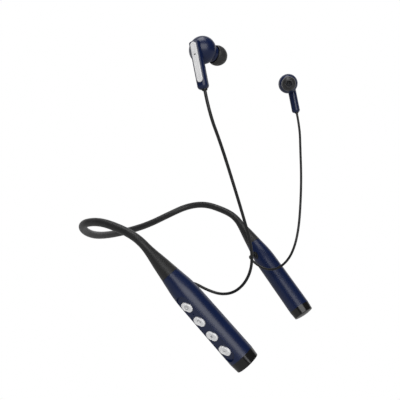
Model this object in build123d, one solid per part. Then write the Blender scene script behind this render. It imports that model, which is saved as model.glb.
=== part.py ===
"""Wireless neckband earphones with two corded buds, as they sit on the wearer.

Millimetres and degrees. +X is the wearer's front, +Y the wearer's left, +Z up. The origin
is on the inner side of the band at the middle of its back, where it rests on the neck.

Both arms are drawn once, for the right side, and mirrored about the XZ plane.
Arm frame: origin where the soft boot meets the hard barrel, z along the arm to its free
end, x out through the button pad. Bud frame: origin at the centre of the round head,
z up along the stem, y out through the pale stem plate.
"""
from build123d import *
import os
from math import atan, cos, pi, radians, sin, sqrt, tan

# ---- Neckband -------------------------------------------------------------------------
BAND_D = 5.4                # silicone band
WIRE_D = 1.2                # spring-steel memory wire in the band
LEAD_D = 1.5                # bundle of signal leads in the band
CORE_OFFSET = 1.0           # wire and lead stand this far each side of the band's centre
CORE_GAP = 0.05             # clearance round the wire and the lead
BOOT_L = 22.0               # flared soft end between band and barrel
BAND_REACH = 7.0            # straight start of the band behind the boot
CORE_END = -2.0             # wire and lead end inside the barrel's spigot
# Left half of the band from the boot to the nape, chosen by hand
BAND_ROUTE = [(54.7, 69, 15.5), (37.7, 69.5, 19.5), (21.2, 67, 17), (9.7, 54.5, 10),
              (2, 34.5, 3)]
NAPE_HALF = 11.5            # half of the level stretch across the nape
BEND_SHARE = 0.45           # of the shorter run at a corner, taken by its arc

# ---- Arm placement --------------------------------------------------------------------
ARM_ROOT = (86.7, -64.0, -10.5)    # right arm, boot to barrel
ARM_DROOP = 46.0            # arm points this far below level
ARM_TOE_IN = 13.0           # and this far towards the middle
PAD_ROLL = 16.0             # pad turned from straight out, towards the back

# ---- Barrel ---------------------------------------------------------------------------
BARREL_L = 62.5
BARREL_REAR_D = 12.1
BARREL_BELLY_D = 16.0
BARREL_FRONT_D = 16.4
BARREL_KNEE_R = 80.0        # blend between the cone and the nearly straight part
SHELL_T = 1.3
NECK_D = 7.6                # spigot of the barrel inside the boot
NECK_L = 7.0
NECK_BORE_D = 4.0
FIT_GAP = 0.05              # clearance of plugged and sleeved parts

# ---- Button pad -----------------------------------------------------------------------
PAD_FLOOR = 6.55            # from the barrel's axis
PAD_W = 9.2
PAD_START = 13.3
PAD_END = 60.8
BUTTON_FIRST = 20.9
BUTTON_PITCH = 10.9
BUTTON_LOBE_R = 2.65        # each end of a key
BUTTON_LOBE_SPREAD = 1.2   # lobe centres each side of the key's centre
BUTTON_WAIST = 5.0          # width across the waist
BUTTON_TURN = 40.0          # long way of a key, from the arm's axis
BUTTON_GAP = 0.15
BUTTON_PROUD = 1.05         # key top above the pad floor
BUTTON_EDGE_R = 0.5
BUTTON_DISH_R = 9.0
BUTTON_DISH_DEPTH = 0.3
FLANGE_LIP = 0.45
FLANGE_T = 0.5
FLANGE_GAP = 0.06           # flange under the shell
BUTTON_TRAVEL = 0.30
SWITCH_GAP = 0.05           # left between flange and switch at full travel
MIC_HOLE_D = 1.0
MIC_HOLE_AT = 26.3

# ---- Right arm electronics ------------------------------------------------------------
BOARD_T = 1.0
BOARD_START = 13.0
BOARD_END = 57.0
RAIL_GAP = 0.15             # board edge to the shell
SWITCH_SIZE = (1.6, 2.6, 3.4)       # height, across, along
ARM_MIC_SIZE = (1.1, 2.0, 2.8)
RADIO_SIZE = (1.6, 8.0, 11.0)
RADIO_AT = 28.0
PORT_W = 8.94               # charging socket shell
PORT_H = 3.20
PORT_L = 9.2
PORT_WALL = 0.32
PORT_REAR = 0.96            # closed rear of the socket
PORT_ON_BOARD = 3.07        # length that rests on the board
PORT_TONGUE_T = 0.7
PORT_TONGUE_W = 6.4
PORT_GAP = 0.12

# ---- Left arm electronics -------------------------------------------------------------
CELL_W = 11.0
CELL_T = 6.4
CELL_L = 38.0
CELL_START = 15.0
CELL_EDGE_R = 1.0
GUARD_L = 6.0               # protection board at the cell's end
GUARD_T = 1.0

# ---- End cap --------------------------------------------------------------------------
CAP_L = 5.8
CAP_END_D = 15.3
CAP_CROWN = 0.9
CAP_EDGE_R = 0.5
CAP_T = 1.3
SPIGOT_L = 3.0

# ---- Cord gland -----------------------------------------------------------------------
GLAND_AT = 10.5             # along the barrel
GLAND_TURN = 152.0          # round the barrel from the pad
GLAND_W = 4.2
GLAND_L = 6.6
GLAND_PROUD = 0.35
GLAND_EDGE_R = 0.28
GLAND_LIP = 0.6
GLAND_LIP_T = 0.8
GLAND_LIP_GAP = 0.65        # lip under the shell, which curves towards it
GLAND_NOSE_D = 3.0
GLAND_NOSE_L = 0.8
CORD_D = 1.8
# Left cord from the bud towards the arm, chosen by hand; both ends come from the fittings
CORD_ROUTE = [(123, 69, 66.5), (126.7, 61, 45), (129.3, 52, 24.5), (130.7, 44.3, 8),
              (129.5, 40, -5), (125.2, 39, -15.5), (117.7, 38.8, -23),
              (108.7, 39.5, -25.5), (99.7, 41.3, -23.3), (92.7, 43.8, -19.5)]
CORD_BUD_RUN = 12.0         # straight out of the bud
CORD_GLAND_RUN = 5.9        # straight out of the gland

# ---- Earbud ---------------------------------------------------------------------------
BUD_CENTRE = (111.9, -69.7, 117.7)  # right bud
STEM_LEAN = 12.5            # foot of the stem leans to the front
PLATE_YAW = 5.0             # stem plate turned from straight out to the front
NOZZLE_DIR = (0.37, 0.91, -0.15)    # right bud, into the ear
HEAD_D = 15.0
BUD_T = 1.0                 # shell of head and stem
STEM_W = 5.9
STEM_CORNER_R = 2.3
STEM_X = 0.8                # stem axis in the bud frame
STEM_Y = 7.2
STEM_TOP = 3.2
STEM_FOOT = -22.7
STEM_FOOT_R = 2.0
STEM_TOP_R = 0.8
PLATE_W = 3.3
PLATE_TOP = 2.5
PLATE_FOOT = -19.1
PLATE_T = 0.9
PLATE_SEAT = 0.6            # depth of the plate's pocket
PLATE_EDGE_R = 0.25
PLATE_GAP = 0.05
PORT_SLOT_W = 1.2           # sound slot in the plate
PORT_SLOT_H = 0.6
PORT_SLOT_AT = -4.2
BUD_MIC_SIZE = (1.6, 0.9, 2.6)      # across, deep, high
SPLIT_AT = 2.6              # head halves part here along the nozzle
COLLAR_D = 8.8
COLLAR_END = 7.6
NOZZLE_D = 5.2
NOZZLE_BORE_D = 3.4
NOZZLE_END = 13.1
MESH_T = 0.3
MESH_INSET = 0.4
DRIVER_D = 11.2
DRIVER_T = 3.0
DRIVER_GAP = 0.3
MAGNET_D = 6.4
MAGNET_T = 1.4
GROMMET_D = 3.0
GROMMET_L = 3.0
GROMMET_PROUD = 0.7
GROMMET_X = -0.4            # from the stem's axis
GROMMET_Y = -0.2

# ---- Ear tip --------------------------------------------------------------------------
TIP_D = 11.1
TIP_REAR = 8.0
TIP_WIDEST = 10.2
TIP_FRONT = 15.7
TIP_SKIRT_T = 0.8
TIP_SLEEVE_T = 0.75
TIP_MOUTH_D = 4.2
TIP_NOSE_SHARE = 0.385      # radius half way round the nose, as a share of the diameter
TIP_NOSE_BACK = 1.1         # that point's distance behind the front
TIP_POCKET_SHARE = 0.36     # the same inside the skirt
TIP_POCKET_BACK = 2.9
TIP_SLEEVE_BACK = 2.4       # sleeve and skirt join this far behind the front

WIRE_SPOT = Pos(CORE_OFFSET, 0, 0)
LEAD_SPOT = Pos(-CORE_OFFSET, 0, 0)

os.makedirs("parts", exist_ok=True)


# ---- Frames ---------------------------------------------------------------------------
def square_to(vector, axis):
    """The part of vector that is at right angles to axis, one unit long."""
    return (vector - axis * vector.dot(axis)).normalized()


arm_axis = Vector(cos(radians(ARM_DROOP)) * cos(radians(ARM_TOE_IN)),
                  cos(radians(ARM_DROOP)) * sin(radians(ARM_TOE_IN)),
                  -sin(radians(ARM_DROOP)))
straight_out = square_to(Vector(0, -1, 0), arm_axis)
to_back = arm_axis.cross(straight_out)
pad_out = straight_out * cos(radians(PAD_ROLL)) + to_back * sin(radians(PAD_ROLL))
arm_plane = Plane(origin=ARM_ROOT, x_dir=pad_out, z_dir=arm_axis)

stem_up = Vector(-sin(radians(STEM_LEAN)), 0, cos(radians(STEM_LEAN)))
plate_out = square_to(Vector(sin(radians(PLATE_YAW)), -cos(radians(PLATE_YAW)), 0), stem_up)
bud_plane = Plane(origin=BUD_CENTRE, x_dir=plate_out.cross(stem_up), z_dir=stem_up)
nozzle_dir = Vector(*NOZZLE_DIR).normalized()
nozzle_in_bud = bud_plane.to_local_coords(nozzle_dir + Vector(*BUD_CENTRE))


def across_y(point):
    """The same point on the other side of the XZ plane."""
    x, y, z = tuple(point)
    return (x, -y, z)


def save(shape, node):
    export_step(shape, "parts/" + node + ".step")


def save_pair(shape, name):
    """The right-hand piece and its mirror image."""
    save(shape, "right_" + name)
    save(mirror(shape, about=Plane.XZ), "left_" + name)


def turned(edges):
    """Solid of revolution about Z from a closed outline in the XZ plane."""
    return revolve(make_face(edges), axis=Axis.Z)


def polygon_xz(points):
    return Polyline(*[(r, 0, z) for r, z in points], close=True)


def rod(diameter, z_from, z_to):
    return Pos(0, 0, z_from) * Cylinder(diameter / 2, z_to - z_from,
                                        align=(Align.CENTER, Align.CENTER, Align.MIN))


def block(x_from, x_to, across, z_from, z_to):
    """Box between two x planes, centred on y."""
    return Pos((x_from + x_to) / 2, 0, (z_from + z_to) / 2) * Box(
        x_to - x_from, across, z_to - z_from)


# ---- Routes ---------------------------------------------------------------------------
def rounded_route(points, name):
    """Straight runs joined by arcs as large as the runs allow; returns the path."""
    vectors = [Vector(*p) for p in points]
    radii = []
    for before, corner, after in zip(vectors, vectors[1:], vectors[2:]):
        run_in = corner - before
        run_out = after - corner
        half_turn = radians(run_in.get_angle(run_out)) / 2
        radii.append(BEND_SHARE * min(run_in.length, run_out.length) / tan(half_turn))
    print(name, "radii", [round(r, 1) for r in radii])
    path = FilletPolyline(*vectors, radius=radii)
    print(name, "length", round(path.length, 1))
    return path


def report_volume(name, shape, section, length):
    print(name, "volume over section x length", round(shape.volume / (section * length), 4))


# ---- Arm pieces, in the arm frame -----------------------------------------------------
cone_rate = (BARREL_REAR_D - BAND_D) / 2 / BOOT_L
knee_z = (BARREL_BELLY_D - BARREL_REAR_D) / 2 / cone_rate


def barrel_outline(inset, z_to):
    """The barrel's outer form, drawn in by inset, from its rear face to z_to."""
    front_rate = (BARREL_FRONT_D - BARREL_BELLY_D) / 2 / (BARREL_L - knee_z)
    rear = (BARREL_REAR_D / 2 - inset, 0, 0)
    knee = (BARREL_BELLY_D / 2 - inset, 0, knee_z)
    front = (BARREL_BELLY_D / 2 - inset + front_rate * (z_to - knee_z), 0, z_to)
    side = FilletPolyline(rear, knee, front, radius=BARREL_KNEE_R - inset)
    return turned(side + Polyline(front, (0, 0, z_to), (0, 0, 0), rear))


def barrel_radius(z):
    """Outer radius of the barrel's straight lines at z, without the blend."""
    if z < knee_z:
        return BARREL_REAR_D / 2 + cone_rate * z
    return BARREL_BELLY_D / 2


def pad_prism(floor, grow):
    """Everything outside the pad floor, within the pad's rounded outline."""
    face = SlotOverall(PAD_END - PAD_START + 2 * grow, PAD_W + 2 * grow)
    place = Plane(origin=(floor, 0, (PAD_START + PAD_END) / 2), x_dir=(0, 0, 1), z_dir=(1, 0, 0))
    return extrude(place * face, amount=BARREL_FRONT_D)


def key_outline(grow):
    """Two round lobes joined by a narrower waist, with soft inner corners."""
    lobe = Circle(BUTTON_LOBE_R + grow)
    waist = Rectangle(2 * BUTTON_LOBE_SPREAD, BUTTON_WAIST + 2 * grow)
    return Pos(-BUTTON_LOBE_SPREAD, 0) * lobe + Pos(BUTTON_LOBE_SPREAD, 0) * lobe + waist


def key_plane(x, number):
    """Plane across a key's travel, its x along the key's long way."""
    turn = radians(BUTTON_TURN)
    return Plane(origin=(x, 0, BUTTON_FIRST + number * BUTTON_PITCH),
                 x_dir=(0, -sin(turn), cos(turn)), z_dir=(1, 0, 0))


under_pad = PAD_FLOOR - SHELL_T
flange_top = under_pad - FLANGE_GAP
flange_foot = flange_top - FLANGE_T
switch_top = flange_foot - BUTTON_TRAVEL - SWITCH_GAP
board_top = switch_top - SWITCH_SIZE[0]
board_foot = board_top - BOARD_T


def gland_plane(lift):
    """Plane square to the barrel's skin at the gland, raised by lift."""
    turn = radians(GLAND_TURN)
    out = Vector(cos(turn), sin(turn), 0)
    tilt = atan(cone_rate)
    normal = out * cos(tilt) - Vector(0, 0, 1) * sin(tilt)
    foot = out * barrel_radius(GLAND_AT) + Vector(0, 0, GLAND_AT)
    return Plane(origin=foot + normal * lift, x_dir=square_to(Vector(0, 0, 1), normal),
                 z_dir=normal)


def gland_prism(grow, low, high):
    face = Ellipse(GLAND_L / 2 + grow, GLAND_W / 2 + grow)
    return extrude(gland_plane(low) * face, amount=high - low)


def plain_barrel():
    """Barrel with its spigot, hollow, with the gland's hole."""
    shell = barrel_outline(0, BARREL_L) - barrel_outline(SHELL_T, BARREL_L)
    rear_wall = rod(BARREL_REAR_D - SHELL_T, 0, SHELL_T)
    neck = rod(NECK_D, -NECK_L, SHELL_T)
    bore = rod(NECK_BORE_D, -NECK_L, SHELL_T)
    return shell + rear_wall + neck - bore - gland_prism(FIT_GAP, -2 * SHELL_T, SHELL_T)


def pad_barrel():
    """Barrel with the button pad, its inner wall following the pad's floor."""
    backing = barrel_outline(SHELL_T / 2, BARREL_L) & pad_prism(under_pad, SHELL_T)
    shell = plain_barrel() + backing - pad_prism(PAD_FLOOR, 0)
    for number in range(len(BUTTONS)):
        hole = extrude(key_plane(under_pad, number) * key_outline(BUTTON_GAP), amount=SHELL_T)
        shell -= hole
    mic_hole = Plane(origin=(under_pad, 0, MIC_HOLE_AT), z_dir=(1, 0, 0)) * Circle(MIC_HOLE_D / 2)
    return shell - extrude(mic_hole, amount=SHELL_T)


def key(number):
    """Keycap with a retaining flange, a soft top edge and a shallow dish."""
    cap_height = BUTTON_PROUD + PAD_FLOOR - flange_top
    cap = extrude(key_plane(flange_top, number) * key_outline(0), amount=cap_height)
    top = cap.faces().sort_by(Axis.X)[-1]
    cap = fillet(top.edges(), BUTTON_EDGE_R)
    flange = extrude(key_plane(flange_foot, number) * key_outline(FLANGE_LIP), amount=FLANGE_T)
    ball = key_plane(PAD_FLOOR + BUTTON_PROUD, number) * Pos(
        0, 0, BUTTON_DISH_R - BUTTON_DISH_DEPTH) * Sphere(BUTTON_DISH_R)
    return cap + flange - ball


BUTTONS = ["button_power", "button_call", "button_volume_up", "button_volume_down"]


def board():
    """Main board, as wide as the barrel's hollow allows where it starts."""
    hollow = barrel_radius(BOARD_START) - SHELL_T - RAIL_GAP
    width = 2 * sqrt(hollow ** 2 - board_top ** 2)
    wide = block(board_foot, board_top, width, BOARD_START, BOARD_END)
    tongue = block(board_foot, board_top, PORT_W, BOARD_END, port_start + PORT_ON_BOARD)
    return wide + tongue


def seated(size, z_mid, x_from):
    """A small part standing on the plane x_from, centred at z_mid."""
    height, across, along = size
    return block(x_from, x_from + height, across, z_mid - along / 2, z_mid + along / 2)


port_end = BARREL_L + CAP_L + CAP_CROWN / 2
port_start = port_end - PORT_L
port_mid = board_foot - PORT_H / 2


def port_place(z):
    return Plane(origin=(port_mid, 0, z), x_dir=(0, 1, 0), z_dir=(0, 0, 1))


def port_form(grow, z_from, z_to):
    """Rounded bar with the socket's section."""
    face = SlotOverall(PORT_W + 2 * grow, PORT_H + 2 * grow)
    return extrude(port_place(z_from) * face, amount=z_to - z_from)


def charging_port():
    shell = port_form(0, port_start, port_end) - port_form(
        -PORT_WALL, port_start + PORT_REAR, port_end)
    tongue = extrude(port_place(port_start + PORT_WALL) * Rectangle(PORT_TONGUE_W, PORT_TONGUE_T),
                     amount=PORT_L - PORT_REAR)
    return shell + tongue


def end_cap(with_port):
    """Crowned cap with a spigot that plugs into the barrel."""
    cap_front = BARREL_L + CAP_L
    hollow_r = BARREL_FRONT_D / 2 - SHELL_T - 2 * FIT_GAP - CAP_T
    side = Polyline((0, 0, BARREL_L), (BARREL_FRONT_D / 2, 0, BARREL_L),
                    (CAP_END_D / 2, 0, cap_front))
    crown_r = ((CAP_END_D / 2) ** 2 + CAP_CROWN ** 2) / (2 * CAP_CROWN)
    sag = crown_r - sqrt(crown_r ** 2 - (CAP_END_D / 4) ** 2)
    crown = ThreePointArc((CAP_END_D / 2, 0, cap_front),
                          (CAP_END_D / 4, 0, cap_front + CAP_CROWN - sag),
                          (0, 0, cap_front + CAP_CROWN))
    body = turned(side + crown + Line((0, 0, cap_front + CAP_CROWN), (0, 0, BARREL_L)))
    rim = body.edges().filter_by_position(Axis.Z, cap_front, cap_front, inclusive=(True, True))
    body = fillet(rim, CAP_EDGE_R)
    body += rod(2 * (hollow_r + CAP_T), BARREL_L - SPIGOT_L, BARREL_L)
    body -= rod(2 * hollow_r, BARREL_L - SPIGOT_L, cap_front - CAP_T)
    if with_port:
        body -= pad_prism(under_pad - FIT_GAP, SHELL_T + FIT_GAP) & rod(
            BARREL_FRONT_D, 0, BARREL_L)
        body -= port_form(PORT_GAP, cap_front - 2 * CAP_T, cap_front + 2 * CAP_CROWN)
    return body


def gland():
    """Oval grommet: lip inside, head flush outside, short round nose for the cord."""
    head = gland_prism(0, -SHELL_T - GLAND_LIP_T, GLAND_PROUD)
    outward = Axis((0, 0, 0), gland_plane(0).z_dir)
    head = fillet(head.faces().sort_by(outward)[-1].edges(), GLAND_EDGE_R)
    nose = extrude(gland_plane(GLAND_PROUD) * Circle(GLAND_NOSE_D / 2), amount=GLAND_NOSE_L)
    lip = extrude(gland_plane(-SHELL_T - GLAND_LIP_GAP - GLAND_LIP_T) * Ellipse(
        GLAND_L / 2 + GLAND_LIP, GLAND_W / 2 + GLAND_LIP / 2), amount=GLAND_LIP_T)
    return head + nose + lip


def boot():
    """Flared silicone end: takes the barrel's spigot, and the band's cores pass through."""
    flare = turned(polygon_xz([(0, -BOOT_L), (BAND_D / 2, -BOOT_L),
                               (BARREL_REAR_D / 2, 0), (0, 0)]))
    socket = rod(NECK_D + 2 * FIT_GAP, -NECK_L - FIT_GAP, 0)
    return flare - socket - core_bars(CORE_GAP, -BOOT_L, 0)


def core_bars(grow, z_from, z_to):
    """Straight stretches of the memory wire and the lead."""
    wire = WIRE_SPOT * rod(WIRE_D + 2 * grow, z_from, z_to)
    lead = LEAD_SPOT * rod(LEAD_D + 2 * grow, z_from, z_to)
    return wire + lead


# ---- Bud pieces, in the bud frame -----------------------------------------------------
nozzle_in_bud_plane = Plane(origin=(0, 0, 0), z_dir=nozzle_in_bud)


def along_nozzle(shape):
    """A shape drawn about Z, laid along the nozzle."""
    return nozzle_in_bud_plane * shape


def ahead_of_split(at):
    """Everything beyond a plane across the nozzle."""
    return along_nozzle(Pos(0, 0, at) * Box(4 * HEAD_D, 4 * HEAD_D, 4 * HEAD_D,
                                            align=(Align.CENTER, Align.CENTER, Align.MIN)))


def stem_form(inset, z_from, z_to):
    face = RectangleRounded(STEM_W - 2 * inset, STEM_W - 2 * inset, STEM_CORNER_R - inset)
    return extrude(Plane(origin=(STEM_X, STEM_Y, z_from)) * face, amount=z_to - z_from)


def plate_form(grow, y_from, y_to):
    """Long rounded plate on the stem's outer side."""
    face = SlotOverall(PLATE_TOP - PLATE_FOOT + 2 * grow, PLATE_W + 2 * grow)
    place = Plane(origin=(STEM_X, y_from, (PLATE_TOP + PLATE_FOOT) / 2), x_dir=(0, 0, 1),
                  z_dir=(0, 1, 0))
    return extrude(place * face, amount=y_to - y_from)


plate_seat_y = STEM_Y + STEM_W / 2 - PLATE_SEAT
mic_top_y = plate_seat_y - BUD_T


def rear_shell():
    """Outer half of the head with the stem, hollow."""
    stem = stem_form(0, STEM_FOOT, STEM_TOP)
    foot = stem.faces().sort_by(Axis.Z)[0].edges()
    stem = fillet(foot, STEM_FOOT_R)
    stem = fillet(stem.faces().sort_by(Axis.Z)[-1].edges(), STEM_TOP_R)
    body = stem + (Sphere(HEAD_D / 2) - ahead_of_split(SPLIT_AT))
    body -= Sphere(HEAD_D / 2 - BUD_T)
    body -= stem_form(BUD_T + PLATE_SEAT, STEM_FOOT + GROMMET_L, STEM_TOP - BUD_T)
    body -= plate_form(PLATE_GAP, plate_seat_y, plate_seat_y + STEM_W)
    body -= Pos(STEM_X, plate_seat_y - BUD_T, PORT_SLOT_AT) * Box(
        PORT_SLOT_W, 3 * BUD_T, PORT_SLOT_H)
    body -= grommet_form(FIT_GAP)
    return body


def front_shell():
    """Inner half of the head with the collar and the nozzle."""
    cap = Sphere(HEAD_D / 2) & ahead_of_split(SPLIT_AT)
    neck = along_nozzle(rod(COLLAR_D, SPLIT_AT, COLLAR_END) + rod(NOZZLE_D, SPLIT_AT, NOZZLE_END))
    hollow = Sphere(HEAD_D / 2 - BUD_T) + along_nozzle(rod(NOZZLE_BORE_D, 0, NOZZLE_END))
    return cap + neck - hollow - stem_form(-CORE_GAP, STEM_FOOT, STEM_TOP)


def grommet_place(z):
    return Pos(STEM_X + GROMMET_X, STEM_Y + GROMMET_Y, z)


def grommet_form(grow):
    return grommet_place(0) * rod(GROMMET_D + 2 * grow, STEM_FOOT - GROMMET_PROUD,
                                  STEM_FOOT + GROMMET_L)


def stem_plate():
    plate = plate_form(0, plate_seat_y, plate_seat_y + PLATE_T)
    plate = fillet(plate.faces().sort_by(Axis.Y)[-1].edges(), PLATE_EDGE_R)
    return plate - Pos(STEM_X, plate_seat_y, PORT_SLOT_AT) * Box(PORT_SLOT_W, STEM_W, PORT_SLOT_H)


def bud_mic():
    across, deep, high = BUD_MIC_SIZE
    y_mid = mic_top_y - FIT_GAP - deep / 2
    return Pos(STEM_X, y_mid, PORT_SLOT_AT) * Box(across, deep, high)


driver_front = SPLIT_AT - DRIVER_GAP


def driver():
    """Speaker capsule behind the nozzle, its magnet at the back."""
    can = rod(DRIVER_D, driver_front - DRIVER_T, driver_front)
    magnet = rod(MAGNET_D, driver_front - DRIVER_T - MAGNET_T, driver_front - DRIVER_T)
    return along_nozzle(can + magnet)


def nozzle_mesh():
    top = NOZZLE_END - MESH_INSET
    return along_nozzle(rod(NOZZLE_BORE_D - 2 * CORE_GAP, top - MESH_T, top))


def ear_tip():
    """Soft dome: a skirt open to the rear round a sleeve that grips the nozzle."""
    sleeve_r = NOZZLE_D / 2 + FIT_GAP
    sleeve_out = sleeve_r + TIP_SLEEVE_T
    mouth_r = TIP_MOUTH_D / 2
    rear_r = TIP_D / 2 - TIP_SKIRT_T / 2
    outer = ThreePointArc((rear_r, 0, TIP_REAR), (TIP_D / 2, 0, TIP_WIDEST),
                          (TIP_D / 2 - TIP_SKIRT_T / 2, 0, 2 * TIP_WIDEST - TIP_REAR))
    shoulder = outer @ 1
    nose = ThreePointArc(shoulder, (TIP_D * TIP_NOSE_SHARE, 0, TIP_FRONT - TIP_NOSE_BACK),
                         (mouth_r + TIP_SKIRT_T / 2, 0, TIP_FRONT))
    ends = Polyline(nose @ 1, (mouth_r, 0, TIP_FRONT - TIP_SKIRT_T / 2),
                    (mouth_r, 0, NOZZLE_END + FIT_GAP), (sleeve_r, 0, NOZZLE_END + FIT_GAP),
                    (sleeve_r, 0, TIP_REAR), (sleeve_out, 0, TIP_REAR),
                    (sleeve_out, 0, TIP_FRONT - TIP_SLEEVE_BACK))
    pocket = ThreePointArc(ends @ 1,
                           (TIP_D * TIP_POCKET_SHARE, 0, TIP_FRONT - TIP_POCKET_BACK),
                           (TIP_D / 2 - TIP_SKIRT_T, 0, TIP_WIDEST))
    skirt = Polyline(pocket @ 1, (rear_r - TIP_SKIRT_T / 2, 0, TIP_REAR),
                     (rear_r, 0, TIP_REAR))
    return turned(outer + nose + ends + pocket + skirt)


# ---- Build ----------------------------------------------------------------------------
right_barrel = pad_barrel()
left_barrel = plain_barrel()
save(arm_plane * right_barrel, "right_barrel")
save(mirror(arm_plane * left_barrel, about=Plane.XZ), "left_barrel")
for index, button in enumerate(BUTTONS):
    save(arm_plane * key(index), button)
switches = [seated(SWITCH_SIZE, BUTTON_FIRST + i * BUTTON_PITCH, board_top)
            for i in range(len(BUTTONS))]
save(arm_plane * Compound(switches), "tact_switches")
save(arm_plane * board(), "control_board")
save(arm_plane * seated(ARM_MIC_SIZE, MIC_HOLE_AT, board_top), "call_microphone")
save(arm_plane * seated(RADIO_SIZE, RADIO_AT, board_foot - RADIO_SIZE[0]), "radio_module")
save(arm_plane * charging_port(), "charging_port")
save(arm_plane * end_cap(True), "right_end_cap")
save(mirror(arm_plane * end_cap(False), about=Plane.XZ), "left_end_cap")
save_pair(arm_plane * gland(), "cord_gland")
save_pair(arm_plane * boot(), "boot")

cell = block(-CELL_T / 2, CELL_T / 2, CELL_W, CELL_START, CELL_START + CELL_L)
cell = fillet(cell.edges().filter_by(Axis.Z), CELL_EDGE_R)
cell_end = CELL_START + CELL_L
guard = block(-CELL_T / 2, GUARD_T - CELL_T / 2, CELL_W, cell_end, cell_end + GUARD_L)
save(mirror(arm_plane * cell, about=Plane.XZ), "battery_cell")
save(mirror(arm_plane * guard, about=Plane.XZ), "battery_guard_board")

save_pair(bud_plane * rear_shell(), "bud_rear_shell")
save_pair(bud_plane * front_shell(), "bud_front_shell")
save_pair(bud_plane * stem_plate(), "stem_plate")
save_pair(bud_plane * bud_mic(), "bud_microphone")
save_pair(bud_plane * driver(), "speaker_driver")
save_pair(bud_plane * nozzle_mesh(), "nozzle_mesh")
save_pair(bud_plane * grommet_form(0), "cord_grommet")
save_pair(bud_plane * along_nozzle(ear_tip()), "ear_tip")

# ---- Cords ----------------------------------------------------------------------------
cord_exit = bud_plane.from_local_coords(
    Vector(STEM_X + GROMMET_X, STEM_Y + GROMMET_Y, STEM_FOOT - GROMMET_PROUD))
nose_plane = gland_plane(GLAND_PROUD + GLAND_NOSE_L)
gland_exit = arm_plane.from_local_coords(nose_plane.origin)
last_corner = arm_plane.from_local_coords(nose_plane.origin + nose_plane.z_dir * CORD_GLAND_RUN)
first_corner = cord_exit - stem_up * CORD_BUD_RUN
print("cord ends", cord_exit, first_corner, last_corner, gland_exit)
route = [tuple(cord_exit), tuple(first_corner)]
route += [across_y(p) for p in CORD_ROUTE]
route += [tuple(last_corner), tuple(gland_exit)]
cord_path = rounded_route(route, "cord")
cord_start = Plane(origin=cord_path @ 0, z_dir=cord_path % 0)
cord = sweep(cord_start * Circle(CORD_D / 2), path=cord_path)
report_volume("cord", cord, pi * CORD_D ** 2 / 4, cord_path.length)
save_pair(cord, "cord")

# ---- Band -----------------------------------------------------------------------------
def along_band(spot, face, path):
    """Sweep a face off the band's centre line, spot measured out from the wearer."""
    start = Plane(origin=path @ 0, x_dir=pad_out, z_dir=path % 0)
    return sweep(start * (spot * face), path=path)


band_start = arm_plane.from_local_coords(Vector(0, 0, -BOOT_L))
band_knee = arm_plane.from_local_coords(Vector(0, 0, -BOOT_L - BAND_REACH))
nape = (-BAND_D / 2, -NAPE_HALF, 0)
half = [tuple(band_start), tuple(band_knee)] + [across_y(p) for p in BAND_ROUTE] + [nape]
band_path = rounded_route(half + [across_y(p) for p in reversed(half)], "band")
core_start = arm_plane.from_local_coords(Vector(0, 0, CORE_END))
core_path = Wire([Line(core_start, band_start)] + band_path.edges()
                 + [Line(across_y(band_start), across_y(core_start))])
print("core length", round(core_path.length, 1))
band_section = Circle(BAND_D / 2) - WIRE_SPOT * Circle(WIRE_D / 2 + CORE_GAP)
band_section -= LEAD_SPOT * Circle(LEAD_D / 2 + CORE_GAP)
band = along_band(Pos(0, 0), band_section, band_path)
memory_wire = along_band(WIRE_SPOT, Circle(WIRE_D / 2), core_path)
signal_lead = along_band(LEAD_SPOT, Circle(LEAD_D / 2), core_path)
report_volume("band", band, band_section.area, band_path.length)
report_volume("memory wire", memory_wire, pi * WIRE_D ** 2 / 4, core_path.length)
save(band, "band_sleeve")
save(memory_wire, "memory_wire")
save(signal_lead, "signal_lead")
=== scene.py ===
# %% [markdown]
# # Neckband earphones, worn
# Wireless earphones as they sit on a wearer: a soft band goes round the back of the neck,
# swells into two tapered hard arms, and each arm sends a thin cord up to its earbud.
# The hard parts come from a CAD model that fixes every size. This lesson gives them their
# finishes, and models again the soft and the finely shaped parts.
# +X is the wearer's front, +Y the wearer's left, +Z up. Blender works in metres.

# %% Load the frame
from math import cos, pi, radians, sin

import bpy
from mathutils import Matrix, Vector


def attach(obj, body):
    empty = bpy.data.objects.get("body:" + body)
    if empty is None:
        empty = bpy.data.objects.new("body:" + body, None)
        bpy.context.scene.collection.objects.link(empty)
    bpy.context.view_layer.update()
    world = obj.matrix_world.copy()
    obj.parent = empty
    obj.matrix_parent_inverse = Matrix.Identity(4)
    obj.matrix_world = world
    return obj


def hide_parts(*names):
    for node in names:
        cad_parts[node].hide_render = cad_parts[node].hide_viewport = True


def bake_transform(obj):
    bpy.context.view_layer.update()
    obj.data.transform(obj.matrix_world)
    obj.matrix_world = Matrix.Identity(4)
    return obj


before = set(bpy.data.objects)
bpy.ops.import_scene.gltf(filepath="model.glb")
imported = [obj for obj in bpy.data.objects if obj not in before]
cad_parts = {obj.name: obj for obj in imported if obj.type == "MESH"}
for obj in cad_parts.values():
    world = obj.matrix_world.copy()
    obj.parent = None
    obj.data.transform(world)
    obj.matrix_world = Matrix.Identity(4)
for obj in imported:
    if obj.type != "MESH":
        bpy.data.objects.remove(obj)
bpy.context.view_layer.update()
MM = 0.001

# %% [markdown]
# ## Camera
# The earphones are seen from the front right of the wearer, from a little above. A medium
# long lens keeps both arms nearly the same size while the near one still looks nearer.

# %% Camera
CAMERA_PLACE = Vector((245.7, -313.0, 58.9)) * MM
CAMERA_YAW = radians(29.1)
CAMERA_PITCH = radians(-4.72)

bpy.ops.object.camera_add(location=CAMERA_PLACE)
camera = bpy.context.object
camera.name = "camera"
camera.rotation_euler = (pi / 2 + CAMERA_PITCH, 0, CAMERA_YAW)
camera.data.sensor_width = 36
camera.data.lens = 45
bpy.context.scene.camera = camera
print("camera looks along", camera.rotation_euler.to_matrix() @ Vector((0, 0, -1)))

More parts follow.
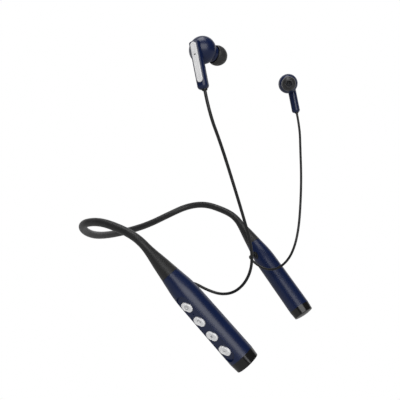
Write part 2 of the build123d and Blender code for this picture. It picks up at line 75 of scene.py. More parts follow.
# %% [markdown]
# ## The two cords
# A limp cord runs from the inner side of each arm down into a loose loop, and up to the
# foot of the earbud's stem. A smooth NURBS line through a few listed points gives
# the same even curve that a soft cord takes, and a round bevel gives it its thickness.

# %% Cord routes
CORD_D = 1.8 * MM
LEFT_CORD = [(91.439, 53.898, -18.202), (89.344, 48.402, -17.745), (92.7, 43.8, -19.5),
             (99.7, 41.3, -23.3), (108.7, 39.5, -25.5), (117.7, 38.8, -23),
             (125.2, 39, -15.5), (129.5, 40, -5), (130.7, 44.3, 8), (129.3, 52, 24.5),
             (126.7, 61, 45), (123, 69, 66.5), (119.754, 76.709, 83.182),
             (117.157, 76.709, 94.897)]


def across(point):
    """The same point on the wearer's other side."""
    return Vector((point[0], -point[1], point[2]))


def line_object(name, points, diameter, widths=None):
    """A round line through control points, each with a share of the full width.

    The bevel is in millimetres, and each point's radius turns it to metres, because
    Blender counts that radius in the curve's box.
    """
    curve = bpy.data.curves.new(name, "CURVE")
    curve.dimensions = "3D"
    curve.bevel_depth = diameter / 2 / MM
    curve.bevel_resolution = 8
    curve.resolution_u = 12
    curve.use_fill_caps = True
    spline = curve.splines.new("NURBS")
    spline.points.add(len(points) - 1)
    for index, point in enumerate(points):
        spline.points[index].co = (*(Vector(point) * MM), 1)
        spline.points[index].radius = MM * (widths[index] if widths else 1)
    spline.order_u = 3
    spline.use_endpoint_u = True
    piece = bpy.data.objects.new(name, curve)
    bpy.context.scene.collection.objects.link(piece)
    print("made", name, "with", len(points), "points")
    return piece


# %% [markdown]
# The two cords are mirror images, so one list of points does for both.

# %% Lay the cords
cords = {}
for side in ("right", "left"):
    points = [across(p) if side == "right" else Vector(p) for p in LEFT_CORD]
    cord = line_object(side + "_earphone_cord", points, CORD_D)
    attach(cord, side + "_arm")
    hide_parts(side + "_cord")
    cords[side] = cord

# %% [markdown]
# ## Places on the object
# Each arm and each earbud has a frame of its own, in which its shape is easy to draw.
# In an arm's frame z runs to the free end and x out through the button pad. In a bud's
# frame z runs up the stem and y out through the pale plate. The left side is the
# mirror image of the right.

# %% Frames of arm and bud
ARM_ROOT = Vector((86.7, -64.0, -10.5))
ARM_DROOP = radians(46)
ARM_TOE_IN = radians(13)
PAD_ROLL = radians(16)
BUD_CENTRE = Vector((111.9, -69.7, 117.7))
STEM_LEAN = radians(12.5)
PLATE_YAW = radians(5)
NOZZLE_DIR = Vector((0.37, 0.91, -0.15)).normalized()


def square_to(vector, axis):
    return (vector - axis * vector.dot(axis)).normalized()


def frame_matrix(origin, x_axis, z_axis):
    """Matrix from a piece's own millimetres to the row's metres."""
    y_axis = z_axis.cross(x_axis)
    columns = Matrix((x_axis, y_axis, z_axis)).transposed().to_4x4()
    return Matrix.Translation(origin * MM) @ columns @ Matrix.Scale(MM, 4)


arm_axis = Vector((cos(ARM_DROOP) * cos(ARM_TOE_IN), cos(ARM_DROOP) * sin(ARM_TOE_IN),
                   -sin(ARM_DROOP)))
straight_out = square_to(Vector((0, -1, 0)), arm_axis)
pad_out = straight_out * cos(PAD_ROLL) + arm_axis.cross(straight_out) * sin(PAD_ROLL)
stem_up = Vector((-sin(STEM_LEAN), 0, cos(STEM_LEAN)))
plate_out = square_to(Vector((sin(PLATE_YAW), -cos(PLATE_YAW), 0)), stem_up)
MIRROR = Matrix.Scale(-1, 4, (0, 1, 0))
ARM = {"right": frame_matrix(ARM_ROOT, pad_out, arm_axis)}
ARM["left"] = MIRROR @ ARM["right"]
BUD = {"right": frame_matrix(BUD_CENTRE, plate_out.cross(stem_up), stem_up)}
BUD["left"] = MIRROR @ BUD["right"]
NOZZLE = {"right": frame_matrix(BUD_CENTRE, square_to(stem_up, NOZZLE_DIR), NOZZLE_DIR)}
NOZZLE["left"] = MIRROR @ NOZZLE["right"]
print("arm axis", arm_axis, "pad faces", pad_out, "stem", stem_up)

# %% [markdown]
# ## The silicone band
# The band is one smooth silicone tube with a spring wire inside. It is thin round the
# neck and already swells a little where it comes to the arm's soft end, so its control
# points carry their own widths.

# %% Band
BAND_D = 5.4
BOOT_L = 22.0
BAND_REACH = 7.0
BAND_ROUTE = [(54.7, 69, 15.5), (37.7, 69.5, 19.5), (21.2, 67, 17), (9.7, 54.5, 10),
              (2, 34.5, 3)]
NAPE = (-BAND_D / 2, 11.5, 0)
BAND_END_WIDTH = 1.09       # where the band meets the boot
LONG_LINE_STEPS = 24


def on_right_arm(z):
    return ARM_ROOT + arm_axis * z


half = [on_right_arm(-BOOT_L), on_right_arm(-BOOT_L - BAND_REACH)]
half += [across(p) for p in BAND_ROUTE] + [across(NAPE)]
band_points = half + [across(p) for p in reversed(half)]
band_widths = [1.0] * len(band_points)
band_widths[0] = band_widths[-1] = BAND_END_WIDTH
band = line_object("silicone_band", band_points, BAND_D * MM, band_widths)
band.data.resolution_u = LONG_LINE_STEPS
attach(band, "neckband")
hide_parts("band_sleeve")

# %% [markdown]
# ## Turned shapes
# Boots, bushes and ear tips are round about an axis. The way by hand is to draw half of
# the outline, by extruding one corner again and again, and to spin it. The ends that lie
# on the axis are then merged, and the normals are made to point outwards.

# %% Soft outlines and finished places
def only(piece):
    """Deselect everything, then select and activate one object."""
    bpy.ops.object.select_all(action="DESELECT")
    piece.hide_set(False)
    piece.select_set(True)
    bpy.context.view_layer.objects.active = piece


def select_only(piece, kind, chosen):
    """Go into edit mode with only the chosen faces or edges selected."""
    bpy.ops.object.mode_set(mode="EDIT")
    bpy.ops.mesh.select_mode(type=kind)
    bpy.ops.mesh.select_all(action="DESELECT")
    bpy.ops.object.mode_set(mode="OBJECT")
    for element in (piece.data.polygons if kind == "FACE" else piece.data.edges):
        element.select = chosen(element)
    bpy.ops.object.mode_set(mode="EDIT")


def smooth(points, steps):
    """A Catmull-Rom line through outline points, for soft profiles."""
    padded = [points[0]] + list(points) + [points[-1]]
    out = []
    for a, b, c, d in zip(padded, padded[1:], padded[2:], padded[3:]):
        for i in range(steps):
            t = i / steps
            out.append(tuple(
                0.5 * (2 * q + (r - p) * t + (2 * p - 5 * q + 4 * r - s) * t ** 2
                       + (3 * q - p - 3 * r + s) * t ** 3)
                for p, q, r, s in zip(a, b, c, d)))
    return out + [tuple(points[-1])]


def place_mesh(piece, matrix):
    """Put a finished mesh in its place, with the object left at the origin.

    The normals are turned outwards while it is still in millimetres, because Blender
    can't tell the outside of a shape that is a fraction of a millimetre in metres.
    """
    only(piece)
    piece.matrix_world = Matrix.Scale(1 / MM, 4) @ matrix
    bpy.ops.object.transform_apply(location=True, rotation=True, scale=True)
    bpy.ops.object.mode_set(mode="EDIT")
    bpy.ops.mesh.select_mode(type="VERT")
    bpy.ops.mesh.select_all(action="SELECT")
    bpy.ops.mesh.normals_make_consistent(inside=False)
    bpy.ops.object.mode_set(mode="OBJECT")
    piece.scale = (MM, MM, MM)
    bpy.ops.object.transform_apply(location=False, rotation=False, scale=True)


# %% Draw and spin
MERGE = 0.001               # corners nearer than this become one


def spin_selected(steps, angle):
    """Spin what is selected about z and merge the corners that meet."""
    bpy.ops.mesh.spin(steps=steps, angle=angle, center=(0, 0, 0), axis=(0, 0, 1))
    bpy.ops.mesh.select_all(action="SELECT")
    bpy.ops.mesh.remove_doubles(threshold=MERGE)
    bpy.ops.object.mode_set(mode="OBJECT")


def drawn_outline(name, outline):
    """A line of (r, z) corners: a plane merged to one corner, extruded to the next."""
    bpy.ops.object.select_all(action="DESELECT")
    bpy.ops.mesh.primitive_plane_add(size=1)
    piece = bpy.context.object
    piece.name = piece.data.name = name
    bpy.ops.object.mode_set(mode="EDIT")
    bpy.ops.mesh.select_mode(type="VERT")
    bpy.ops.mesh.merge(type="CENTER")
    bpy.ops.transform.translate(value=(outline[0][0], 0, outline[0][1]))
    for (r, z), (next_r, next_z) in zip(outline, outline[1:]):
        step = {"value": (next_r - r, 0, next_z - z)}
        bpy.ops.mesh.extrude_vertices_move(TRANSFORM_OT_translate=step)
    bpy.ops.mesh.select_all(action="SELECT")
    return piece


def spun(name, outline, matrix, steps=96, sharp=30):
    """Spin an (r, z) outline about z, close its poles and put it in place."""
    piece = drawn_outline(name, outline)
    spin_selected(steps, 2 * pi)
    place_mesh(piece, matrix)
    bpy.ops.object.shade_smooth_by_angle(angle=radians(sharp))
    print("spun", name, "with", len(piece.data.polygons), "faces")
    return piece


# %% [markdown]
# ## Boots
# The soft end of each arm is the band's own silicone, swelling from the band's width to
# the hard barrel's in an easy curve. It bends when the arm is pulled outwards; here it
# is spun in place and not blended between the band and the arm.

# %% Boots
BOOT_OUTLINE = [(2.943, -BOOT_L), (3.25, -19.0), (3.75, -15.5), (4.33, -12.0), (4.87, -8.5),
                (5.36, -5.0), (5.72, -2.4), (5.98, -0.5)]
BOOT_LIP = [(6.0, -0.2), (5.85, -0.05), (5.6, 0.0)]
ARM_HOLD = 3.0              # the last of the boot is stiff on the barrel's spigot


def bend_with_arm(piece, side):
    """Bake a piece's place into its mesh; the boot's two ends are worked out but not used."""
    ends = [on_right_arm(-BOOT_L) * MM, on_right_arm(-ARM_HOLD) * MM]
    if side == "left":
        ends = [across(p) for p in ends]
    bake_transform(piece)


boots = []
for side in ("right", "left"):
    outline = [(0, -BOOT_L)] + smooth(BOOT_OUTLINE, 4) + BOOT_LIP + [(0, 0)]
    boot = spun(side + "_silicone_boot", outline, ARM[side])
    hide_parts(side + "_boot")
    bend_with_arm(boot, side)
    boots.append(boot)

# %% [markdown]
# ## Spring wire and leads
# A spring-steel wire and a bundle of leads run side by side through the band, and on
# through each boot into the arm. The stretch in the band and the stretch in each boot
# are separate pieces that meet at the boot's rear.

# %% Cores of the band
CORES = {"memory_wire": (1.2, 1.0, "spring_steel"), "signal_lead": (1.5, -1.0, "lead_jacket")}
CORE_END = -2.0
NECK_MIDDLE = Vector((45, 0, 0))


def moved_out(point, distance):
    """A point of the band's line moved level and away from the neck's middle."""
    outward = Vector(point) - NECK_MIDDLE
    outward.z = 0
    return Vector(point) + outward.normalized() * distance


core_pieces = {name: [] for name in CORES}
for name, (width, beside, slot) in CORES.items():
    core_points = [moved_out(point, beside) for point in band_points]
    core = line_object(name + "_in_band", core_points, width * MM)
    core.data.resolution_u = LONG_LINE_STEPS
    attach(core, "neckband")
    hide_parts(name)
    core_pieces[name].append(core)
    for side in ("right", "left"):
        rings = [(width / 2, -BOOT_L + step * (BOOT_L + CORE_END) / 10) for step in range(11)]
        outline = [(0, rings[0][1])] + rings + [(0, rings[-1][1])]
        shift = Matrix.Translation((beside, 0, 0))
        end = spun(f"{side}_{name}_in_boot", outline, ARM[side] @ shift, steps=16, sharp=60)
        bend_with_arm(end, side)
        core_pieces[name].append(end)

# %% [markdown]
# ## Ear tips
# A soft silicone dome: a thin skirt that folds back over the nozzle round an inner
# sleeve. Its half outline is drawn once, with soft corners, and spun about the nozzle.

# %% Ear tips
TIP_OUTSIDE = [(4.75, 8.0), (5.02, 8.02), (5.3, 8.7), (5.5, 9.6), (5.55, 10.5), (5.42, 11.6),
               (5.1, 12.7), (4.55, 13.8), (3.8, 14.8), (3.1, 15.4), (2.55, 15.65),
               (2.2, 15.5), (2.05, 15.1), (1.95, 14.4), (1.95, 13.2)]
TIP_INSIDE = [(2.65, 13.15), (2.65, 8.05), (2.75, 8.0), (3.3, 8.0), (3.4, 8.1), (3.4, 12.2)]
TIP_POCKET = [(3.4, 12.2), (3.6, 12.9), (4.0, 12.9), (4.4, 12.2), (4.7, 11.0), (4.78, 10.0),
              (4.72, 9.0), (4.6, 8.2), (4.75, 8.0)]
tips = []
for side in ("right", "left"):
    outline = smooth(TIP_OUTSIDE, 3) + TIP_INSIDE + smooth(TIP_POCKET, 3)[1:]
    tip = spun(side + "_soft_ear_tip", outline, NOZZLE[side], steps=80, sharp=50)
    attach(tip, side + "_tip")
    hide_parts(side + "_ear_tip")
    tips.append(tip)

# %% [markdown]
# ## Where the cords go in
# At the arm the cord leaves through an oval rubber gland, flush in the barrel's inner
# side with a short round nose. At the bud it goes into a small round bush in the foot of
# the stem. Both are soft, so both get rounded lips.

# %% Glands and bushes
GLAND_AT = 10.5
GLAND_TURN = radians(152)
GLAND_W, GLAND_L, GLAND_DEEP, GLAND_PROUD = 4.2, 6.6, 2.45, 0.35
GLAND_LIP_R = 0.25
NOSE_W, NOSE_OUT, NOSE_ROUND, NOSE_TAPER = 3.0, 1.15, 0.2, 0.88
NOSE_RIM = 0.6              # flat lip left round the nose
BARREL_REAR_D = 12.1
CONE_RATE = (BARREL_REAR_D - BAND_D) / 2 / BOOT_L
STEM_X, STEM_Y, STEM_FOOT = 0.8, 7.2, -22.7
BUSH_OUTLINE = [(0, 3.0), (1.5, 3.0), (1.5, 0.0), (1.5, -0.4), (1.42, -0.6), (1.25, -0.7),
                (0, -0.7)]
out = Vector((cos(GLAND_TURN), sin(GLAND_TURN), 0))
skin_normal = (out - Vector((0, 0, CONE_RATE))).normalized()
skin = out * (BARREL_REAR_D / 2 + CONE_RATE * GLAND_AT) + Vector((0, 0, GLAND_AT))
along = square_to(Vector((0, 0, 1)), skin_normal)
gland_axes = Matrix((along, skin_normal.cross(along), skin_normal)).transposed().to_4x4()
gland_place = Matrix.Translation(skin) @ gland_axes
bush_place = Matrix.Translation((STEM_X - 0.4, STEM_Y - 0.2, STEM_FOOT))


def oval_gland(name, matrix):
    """A cylinder squeezed to an oval, its outer face inset and drawn out to a nose."""
    bpy.ops.object.select_all(action="DESELECT")
    bpy.ops.mesh.primitive_cylinder_add(vertices=64, radius=1, depth=GLAND_DEEP)
    piece = bpy.context.object
    piece.name = piece.data.name = name
    piece.location.z = GLAND_PROUD - GLAND_DEEP / 2
    piece.scale = (GLAND_L / 2, GLAND_W / 2, 1)
    bpy.ops.object.transform_apply(location=True, rotation=False, scale=True)
    select_only(piece, "FACE", lambda face: face.center.z > GLAND_PROUD - 0.001)
    bpy.ops.mesh.bevel(offset=GLAND_LIP_R, segments=4, affect="EDGES")
    bpy.ops.object.mode_set(mode="OBJECT")
    select_only(piece, "FACE", lambda face: face.center.z > GLAND_PROUD - 0.001)
    bpy.ops.mesh.inset(thickness=NOSE_RIM)
    inset = 2 * (GLAND_LIP_R + NOSE_RIM)
    bpy.ops.transform.resize(value=(NOSE_W / (GLAND_L - inset), NOSE_W / (GLAND_W - inset), 1))
    straight = NOSE_OUT - GLAND_PROUD - NOSE_ROUND
    for rise in (straight, NOSE_ROUND):
        bpy.ops.mesh.extrude_region_move(TRANSFORM_OT_translate={"value": (0, 0, rise)})
    bpy.ops.transform.resize(value=(NOSE_TAPER, NOSE_TAPER, 1))
    bpy.ops.object.mode_set(mode="OBJECT")
    place_mesh(piece, matrix)
    bpy.ops.object.shade_smooth_by_angle(angle=radians(35))
    print("gland", name, "with", len(piece.data.polygons), "faces")
    return piece


cord_fittings = []
for side in ("right", "left"):
    gland = oval_gland(side + "_oval_gland", ARM[side] @ gland_place)
    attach(gland, side + "_arm")
    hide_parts(side + "_cord_gland")
    bush = spun(side + "_stem_bush", BUSH_OUTLINE, BUD[side] @ bush_place, steps=48)
    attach(bush, side + "_bud")
    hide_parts(side + "_cord_grommet")
    cord_fittings += [gland, bush]

# %% [markdown]
# ## Signs on the keys
# Each key carries a small grey sign in its dish: power, a handset, plus and minus. A sign
# is a thin raised mark. We build each from bars and part of a ring, in the key's own
# frame, where x runs along the key and z points out of it.

# %% Bars and rings
BUTTON_FIRST, BUTTON_PITCH = 20.9, 10.9
BUTTON_TURN = radians(40)
PAD_FLOOR, KEY_PROUD, DISH = 6.55, 1.05, 0.3
SIGN_PROUD, SIGN_DEEP = 0.16, 0.2
SIGN_LINE, HANDSET_LINE, EARPIECE = 0.46, 0.5, (0.8, 0.66)
BAR_LENGTH, RING_R = 2.1, 1.15


def bar(length, width, at=(0, 0), turn=0):
    """A flat bar with rounded ends."""
    bpy.ops.object.select_all(action="DESELECT")
    bpy.ops.mesh.primitive_cube_add(size=1)
    piece = bpy.context.object
    piece.scale = (length, width, SIGN_DEEP)
    piece.rotation_euler.z = turn
    piece.location = (at[0], at[1], SIGN_PROUD - SIGN_DEEP / 2)
    bpy.ops.object.transform_apply(location=False, rotation=False, scale=True)
    height = [vertex.co.z for vertex in piece.data.vertices]
    select_only(piece, "EDGE", lambda edge: height[edge.vertices[0]] != height[edge.vertices[1]])
    bpy.ops.mesh.bevel(offset=width * 0.45, segments=3, affect="EDGES")
    bpy.ops.object.mode_set(mode="OBJECT")
    return piece


def arc(width, start, sweep, steps=28):
    """Part of a flat ring: a small upright square spun about z, with both ends closed."""
    bpy.ops.object.select_all(action="DESELECT")
    bpy.ops.mesh.primitive_plane_add(size=1)
    piece = bpy.context.object
    piece.scale = (width, SIGN_DEEP, 1)
    piece.rotation_euler = (pi / 2, 0, start)
    piece.location = (RING_R * cos(start), RING_R * sin(start), SIGN_PROUD - SIGN_DEEP / 2)
    bpy.ops.object.transform_apply(location=True, rotation=True, scale=True)
    bpy.ops.object.mode_set(mode="EDIT")
    bpy.ops.mesh.select_all(action="SELECT")
    bpy.ops.mesh.duplicate()
    spin_selected(steps, -sweep)
    return piece


# %% Signs
def sign(name, parts, number):
    """Join the parts of a sign and put it in the dish of its key."""
    bpy.ops.object.select_all(action="DESELECT")
    for part in parts:
        part.select_set(True)
    bpy.context.view_layer.objects.active = parts[0]
    if len(parts) > 1:
        bpy.ops.object.join()
    piece = bpy.context.object
    bpy.ops.object.transform_apply(location=True, rotation=True, scale=True)
    piece.name = piece.data.name = name
    long_way = Vector((0, -sin(BUTTON_TURN), cos(BUTTON_TURN)))
    facing = Vector((1, 0, 0))
    axes = Matrix((long_way, facing.cross(long_way), facing)).transposed().to_4x4()
    spot = Vector((PAD_FLOOR + KEY_PROUD - DISH, 0, BUTTON_FIRST + number * BUTTON_PITCH))
    place_mesh(piece, ARM["right"] @ Matrix.Translation(spot) @ axes)
    print("sign", name, "with", len(piece.data.polygons), "faces")
    return piece


signs = [
    sign("power_sign", [arc(SIGN_LINE, radians(125), radians(290)),
                        bar(1.1, SIGN_LINE, at=(0, 0.85), turn=pi / 2)], 0),
    sign("handset_sign", [arc(HANDSET_LINE, radians(30), radians(120)),
                          bar(*EARPIECE, at=(-1.0, 0.4), turn=radians(60)),
                          bar(*EARPIECE, at=(1.0, 0.4), turn=radians(-60))], 1),
    sign("plus_sign", [bar(BAR_LENGTH, SIGN_LINE),
                       bar(BAR_LENGTH, SIGN_LINE, turn=pi / 2)], 2),
    sign("minus_sign", [bar(BAR_LENGTH, SIGN_LINE)], 3)]
for piece, key in zip(signs, ("power_key", "call_key", "volume_up_key", "volume_down_key")):
    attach(piece, key)

# %% [markdown]
# ## Finishes
# A material is a graph of nodes. One function adds a node with its settings and links,
# and another turns the hex colours that we read off a screen into the linear values
# that light works with.

# %% Colours and nodes
def linear(code, alpha=1.0):
    """An sRGB hex colour as linear RGBA."""
    values = [int(code[i:i + 2], 16) / 255 for i in (1, 3, 5)]
    bent = [v / 12.92 if v <= 0.04045 else ((v + 0.055) / 1.055) ** 2.4 for v in values]
    return (*bent, alpha)


def add(tree, kind, settings=None, links=None):
    """Add a node, set its properties and sockets, and link its inputs."""
    node = tree.nodes.new(kind)
    for key, value in (settings or {}).items():
        if hasattr(node, key):
            setattr(node, key, value)
        else:
            node.inputs[key].default_value = value
    for key, source in (links or {}).items():
        tree.links.new(source, node.inputs[key])
    return node


def new_material(name, sockets):
    """A Principled material with its constant sockets set."""
    material = bpy.data.materials.new(name)
    material.use_nodes = True
    tree = material.node_tree
    shader = tree.nodes["Principled BSDF"]
    for key, value in sockets.items():
        shader.inputs[key].default_value = value
    return material, tree, shader


# %% [markdown]
# Moulded and painted surfaces are never quite even. A slow drift moves the colour
# between two near shades and the roughness with it, and a fine grain stands out as a
# bump. The real grain is a few hundredths of a millimetre, too fine to show, so it is
# drawn at about half a millimetre. All sizes here are in millimetres.

# %% Grain and drift
DRIFT = 6.0                 # length over which a moulding's shade drifts


def fine_grain(tree, shader, grain, depth):
    """Fine moulded grain: noise of one size, as a bump of one depth."""
    place = add(tree, "ShaderNodeTexCoord").outputs["Object"]
    noise = add(tree, "ShaderNodeTexNoise", {"Scale": 1 / (grain * MM), "Detail": 2.0},
                {"Vector": place})
    bump = add(tree, "ShaderNodeBump", {"Distance": depth * MM},
               {"Height": noise.outputs["Fac"]})
    tree.links.new(bump.outputs["Normal"], shader.inputs["Normal"])
    return place, noise


def two_shades(tree, shader, source, marks):
    """Ramp a value from a dark shade at one mark to a light one at the next."""
    ramp = add(tree, "ShaderNodeValToRGB", {}, {"Fac": source})
    for element, (position, shade) in zip(ramp.color_ramp.elements, marks):
        element.position = position
        element.color = linear(shade)
    tree.links.new(ramp.outputs["Color"], shader.inputs["Base Color"])


def drifting(tree, shader, place, scale, dark, light):
    """Let the colour drift between two near shades, and return the drift."""
    drift = add(tree, "ShaderNodeTexNoise", {"Scale": scale, "Detail": 3.0},
                {"Vector": place})
    two_shades(tree, shader, drift.outputs["Fac"], ((0.35, dark), (0.65, light)))
    return drift


def uneven_roughness(tree, shader, noise, low, high):
    """Keep the roughness in a narrow range that follows a noise."""
    rough = add(tree, "ShaderNodeMapRange", {"To Min": low, "To Max": high},
                {"Value": noise.outputs["Fac"]})
    tree.links.new(rough.outputs["Result"], shader.inputs["Roughness"])


# %% [markdown]
# ## Plastics and rubbers
# The arms and buds are navy and black plastic, the keys pale plastic, and the band, cords
# and ear tips soft rubbers. All come from a mould, so one function makes them, and they
# differ in colour, roughness and how strongly they bend light.

# %% Plastics and rubbers
def moulded(name, dark, light, rough, grain, depth, sockets):
    """Moulded plastic or rubber: two near shades, a rough range and a fine grain."""
    material, tree, shader = new_material(name, sockets)
    place, noise = fine_grain(tree, shader, grain, depth)
    drift = drifting(tree, shader, place, 1 / (DRIFT * MM), dark, light)
    uneven_roughness(tree, shader, drift, *rough)
    print("material", name)
    return material


# ABS under satin navy paint: deep blue with soft, wide streaks of light along the barrel
navy_abs = moulded("navy_painted_abs", "#06163a", "#07183d", (0.30, 0.34), 0.5, 0.0005,
                   {"IOR": 1.5})
# ABS from a polished mould: near black, with narrow bright reflections
black_abs = moulded("black_polished_abs", "#141414", "#171717", (0.14, 0.18), 0.6, 0.0004,
                    {"IOR": 1.5})
# polycarbonate from a satin mould: a clean pale grey that shades softly into its dish
pale_pc = moulded("pale_satin_polycarbonate", "#e2e2e3", "#e8e8e9", (0.34, 0.4), 0.6, 0.0005,
                  {"IOR": 1.55})
# silicone rubber, moulded matt: charcoal with a broad dull shine and a faint bloom at edges
band_silicone = moulded("charcoal_matt_silicone", "#1a1a1b", "#1f1f20", (0.42, 0.48), 0.6,
                        0.001, {"IOR": 1.42, "Sheen Weight": 0.1})
# extruded thermoplastic rubber: a black line with a thin soft highlight down its length
cord_rubber = moulded("black_soft_cord_jacket", "#151617", "#1a1b1c", (0.36, 0.42), 0.6,
                      0.001, {"IOR": 1.45})
# thin soft silicone: dark grey, and light goes a little way in, so its lip isn't hard
tip_silicone = moulded("dark_soft_ear_silicone", "#2a2a2b", "#303031", (0.36, 0.42), 0.6,
                       0.001, {"IOR": 1.42, "Subsurface Weight": 0.1,
                               "Subsurface Radius": (2 * MM, 2 * MM, 2 * MM)})
# ink laid on by a soft pad: a flat mid grey that reads on the pale key
sign_ink = moulded("grey_pad_print", "#a2a3a5", "#aaabad", (0.45, 0.55), 0.6, 0.0005,
                   {"IOR": 1.5})
# lacquer over a glass-fibre board: dark green, half glossy
solder_mask = moulded("green_solder_mask", "#0e3a1c", "#14512a", (0.3, 0.45), 0.8, 0.01,
                      {"IOR": 1.5})
# soft vinyl over the leads: black and dull
lead_jacket = moulded("black_lead_jacket", "#131315", "#1b1b1e", (0.45, 0.55), 0.5, 0.01,
                      {"IOR": 1.5})

# %% [markdown]
# ## Stem plate
# The plate set in each stem is pale painted plastic with a faint lengthwise grain. The
# grain is a noise stretched along the stem, so its coordinates are first turned by the
# stem's lean.

# %% Stem plate
def long_grained(name, dark, light, width, length, rough, sockets):
    """Paint over a lengthwise grain that runs along the stem."""
    material, tree, shader = new_material(name, sockets)
    place = add(tree, "ShaderNodeTexCoord").outputs["Object"]
    turned = add(tree, "ShaderNodeMapping", {"Rotation": (0, STEM_LEAN, 0)}, {"Vector": place})
    across_grain, along_grain = 1 / (width * MM), 1 / (length * MM)
    drawn = add(tree, "ShaderNodeMapping", {"Scale": (across_grain, across_grain, along_grain)},
                {"Vector": turned.outputs["Vector"]})
    drift = drifting(tree, shader, drawn.outputs["Vector"], 1.0, dark, light)
    uneven_roughness(tree, shader, drift, *rough)
    print("material", name)
    return material


# satin paint over drawn-looking plastic: pale grey with thin streaks down the stem
plate_paint = long_grained("pale_painted_stem_plate", "#cbcbcc", "#d8d8d9", 0.6, 12,
                           (0.4, 0.46), {"IOR": 1.5})

# %% [markdown]
# ## Nozzle mesh
# Sound comes out through thin steel pierced with small round holes. The holes are too
# small to cut, so regular cells paint shade where a hole would be and dent the sheet.

# %% Nozzle mesh
HOLE_DENT = 0.05


def pierced(name, dark, light, pitch, rough):
    """Steel mesh: round holes in painted shade on a paler sheet, a pitch apart."""
    material, tree, shader = new_material(name, {"Metallic": 1.0, "Roughness": rough})
    place = add(tree, "ShaderNodeTexCoord").outputs["Object"]
    cells = add(tree, "ShaderNodeTexVoronoi", {"Scale": 1 / (pitch * MM), "Randomness": 0.0},
                {"Vector": place})
    # the dark mark of the ramp is painted shade inside each hole, the light one the sheet itself
    two_shades(tree, shader, cells.outputs["Distance"], ((0.3, dark), (0.42, light)))
    bump = add(tree, "ShaderNodeBump", {"Distance": HOLE_DENT * MM},
               {"Height": cells.outputs["Distance"]})
    tree.links.new(bump.outputs["Normal"], shader.inputs["Normal"])
    print("material", name)
    return material


# stainless sheet, etched through: dark, its holes in painted shade, with a fine regular sparkle
# between them
mesh_steel = pierced("steel_mesh_painted_hole_shade", "#050506", "#3a3b3d", 0.4, 0.45)

# %% [markdown]
# ## Metals
# The spring wire, switch domes, cans and the cell's foil are bare metal, mostly hidden
# inside. A metal takes its colour from its reflection, so a fine uneven roughness is what
# tells a drawn wire from a rolled can.

# %% Metals
METAL_DRIFT = 4.0
METAL_GRAIN_DEPTH = 0.004


def metal(name, dark, light, rough, grain):
    """Bare metal with a fine uneven roughness."""
    material, tree, shader = new_material(name, {"Metallic": 1.0})
    place, noise = fine_grain(tree, shader, grain, METAL_GRAIN_DEPTH)
    drifting(tree, shader, place, 1 / (METAL_DRIFT * MM), dark, light)
    uneven_roughness(tree, shader, noise, *rough)
    print("material", name)
    return material


# tin plate, rolled and pressed: a soft pale grey shine
tinned = metal("tinned_shield_steel", "#a9abad", "#bfc1c3", (0.3, 0.45), 0.5)
# spring steel, drawn: darker, with a tight highlight along the wire
spring = metal("spring_steel_wire", "#8d9094", "#a2a5a8", (0.25, 0.4), 0.3)
# stainless steel, pressed: bright and rather sharp
stainless = metal("drawn_stainless_steel", "#9b9da0", "#b4b6b8", (0.2, 0.35), 0.4)
# aluminium foil laminate: the palest, with a broad crinkled shine
pouch_foil = metal("cell_pouch_foil", "#b8babd", "#cfd1d3", (0.35, 0.5), 1.5)

# %% [markdown]
# ## Finishes on the pieces
# A CAD node's name says what it is, so one table of words gives each node its finish.
# The pieces that were modelled again take the finish of the node they stand for.

# %% Give each CAD node its finish
FINISHES = {
    "barrel": navy_abs, "bud_rear_shell": navy_abs, "bud_front_shell": navy_abs,
    "end_cap": black_abs, "button": pale_pc, "stem_plate": plate_paint,
    "cord_gland": cord_rubber, "cord_grommet": cord_rubber, "ear_tip": tip_silicone,
    "nozzle_mesh": mesh_steel, "speaker_driver": tinned, "microphone": tinned,
    "radio_module": tinned, "tact_switches": stainless, "charging_port": stainless,
    "board": solder_mask, "battery_cell": pouch_foil, "memory_wire": spring,
    "signal_lead": lead_jacket, "boot": band_silicone, "band_sleeve": band_silicone,
    "cord": cord_rubber,
}


def finish(piece, material):
    piece.data.materials.clear()
    piece.data.materials.append(material)


for name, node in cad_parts.items():
    word = next(key for key in FINISHES if key in name)
    finish(node, FINISHES[word])
    print(name, "->", FINISHES[word].name)
for piece in [band] + boots:
    finish(piece, band_silicone)
for piece in list(cords.values()) + cord_fittings:
    finish(piece, cord_rubber)
for piece in tips:
    finish(piece, tip_silicone)
for piece in signs:
    finish(piece, sign_ink)
for name, pieces in core_pieces.items():
    for piece in pieces:
        finish(piece, FINISHES[name])

# %% [markdown]
# ## Floor and light
# A plain white studio. The floor lies far below, because the earphones are held up by a
# neck, and it melts into the white surround. Dark glossy plastic shows only what it
# mirrors, so the streaks on the barrels are drawn by soft boxes: one wide box by the
# camera, and one above. The floor and surround are paler to look at than to reflect.

# %% Studio white
WHITE_SEEN = 1.0
FILL = 0.5                  # soft light from all round
ROOM_MIRRORED = 0.03        # the dark room that gloss mirrors
BACKDROP_MIRRORED = 0.9     # the white backdrop that gloss mirrors at its rims
FLOOR_MIRRORED = 0.4        # and the floor that it mirrors underneath


def studio_white(tree, output, mirrored):
    """White where it is looked at, a soft fill, and its own brightness in reflections."""
    kind = "ShaderNodeBackground" if output == "World" else "ShaderNodeEmission"
    seen, fill, gloss = [add(tree, kind, {"Color": (1, 1, 1, 1), "Strength": strength})
                         for strength in (WHITE_SEEN, FILL, mirrored)]
    path = add(tree, "ShaderNodeLightPath")
    indirect = add(tree, "ShaderNodeMixShader", {}, {
        "Fac": path.outputs["Is Glossy Ray"], 1: fill.outputs[0], 2: gloss.outputs[0]})
    mix = add(tree, "ShaderNodeMixShader", {}, {
        "Fac": path.outputs["Is Camera Ray"], 1: indirect.outputs[0], 2: seen.outputs[0]})
    add(tree, "ShaderNodeOutput" + output, {}, {"Surface": mix.outputs[0]})
    return gloss


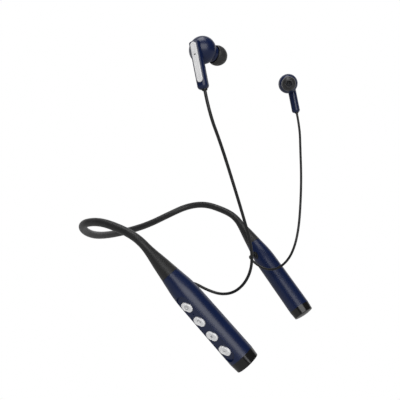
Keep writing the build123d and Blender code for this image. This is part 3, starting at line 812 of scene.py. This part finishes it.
# %% Floor
FLOOR_SIZE, FLOOR_DROP = 60, 0.6
bpy.ops.object.select_all(action="DESELECT")
bpy.ops.mesh.primitive_plane_add(size=FLOOR_SIZE, location=(0, 0, -FLOOR_DROP))
floor = bpy.context.object
floor.name = "studio_floor"
floor_white = bpy.data.materials.new("white_studio_floor")
floor_white.use_nodes = True
floor_white.node_tree.nodes.clear()
studio_white(floor_white.node_tree, "Material", FLOOR_MIRRORED)
finish(floor, floor_white)
print("floor", FLOOR_DROP, "m below the band")

# %% [markdown]
# The surround mirrors dark, but for one white stretch behind the earphones. Seen at a
# flat angle, gloss mirrors that stretch, which draws the pale line along each rim.

# %% Surround
BACKDROP_WAY = Vector((-0.486, 0.874, 0))
BACKDROP_EDGE, BACKDROP_FULL = 0.45, 0.8
world = bpy.data.worlds.new("studio_surround")
bpy.context.scene.world = world
world.use_nodes = True
world.node_tree.nodes.clear()
tree = world.node_tree
gloss = studio_white(tree, "World", ROOM_MIRRORED)
way = add(tree, "ShaderNodeTexCoord").outputs["Generated"]
facing = add(tree, "ShaderNodeVectorMath", {"operation": "DOT_PRODUCT"}, {0: way})
facing.inputs[1].default_value = BACKDROP_WAY
spread = add(tree, "ShaderNodeMapRange",
             {"From Min": BACKDROP_EDGE, "From Max": BACKDROP_FULL,
              "To Min": ROOM_MIRRORED, "To Max": BACKDROP_MIRRORED},
             {"Value": facing.outputs["Value"]})
tree.links.new(spread.outputs["Result"], gloss.inputs["Strength"])
bpy.context.scene.view_settings.view_transform = "Standard"
bpy.context.scene.view_settings.look = "None"
print("surround mirrors", ROOM_MIRRORED, "and, behind,", BACKDROP_MIRRORED)

# %% [markdown]
# Two soft boxes shape the barrels. The wide one beside the camera draws the long streak,
# and the one above lights the tops of the band and buds.

# %% Soft boxes
def soft_box(name, place, target, size, power):
    """An area light at a place in metres, turned to a target."""
    bpy.ops.object.light_add(type="AREA", location=place)
    lamp = bpy.context.object
    lamp.name = name
    lamp.data.shape = "RECTANGLE"
    lamp.data.size, lamp.data.size_y = size
    lamp.data.energy = power
    lamp.rotation_euler = (Vector(target) - Vector(place)).to_track_quat("-Z", "Y").to_euler()
    return lamp


CENTRE = Vector((0.07, 0, 0.02))
soft_box("front_box", (0.62, -0.72, 0.42), CENTRE, (0.9, 0.7), 5.8)
soft_box("top_box", (0.0, -0.1, 1.0), CENTRE, (0.6, 0.6), 4)
